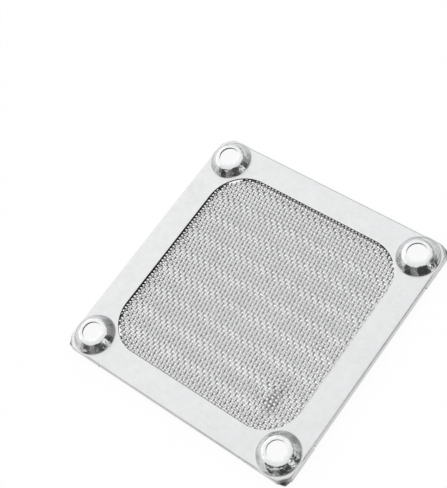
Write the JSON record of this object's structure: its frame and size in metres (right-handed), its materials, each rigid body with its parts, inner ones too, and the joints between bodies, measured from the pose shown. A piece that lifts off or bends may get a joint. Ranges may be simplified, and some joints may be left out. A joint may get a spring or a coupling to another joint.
{
  "type": "fan dust filter",
  "caption": "Square aluminium dust filter for an axial fan: a folded sheet frame with pressed screw bosses in its corners that holds a corrugated wire mesh.",
  "frame": {"origin": "middle of the back, in the plane of the back flanges", "axes": "+Z out of the front face, the side the bosses stand on; +X along the ridges of the mesh, +Y across them"},
  "size_m": [0.06, 0.06, 0.0039],
  "materials": {
    "frame": "bright rolled sheet with a fine straight grain, satin",
    "wire_mesh": "bright woven wire"
  },
  "bodies": {
    "root": {"frame": "frame", "wire_mesh": "wire_mesh"}
  },
  "joints": []
}
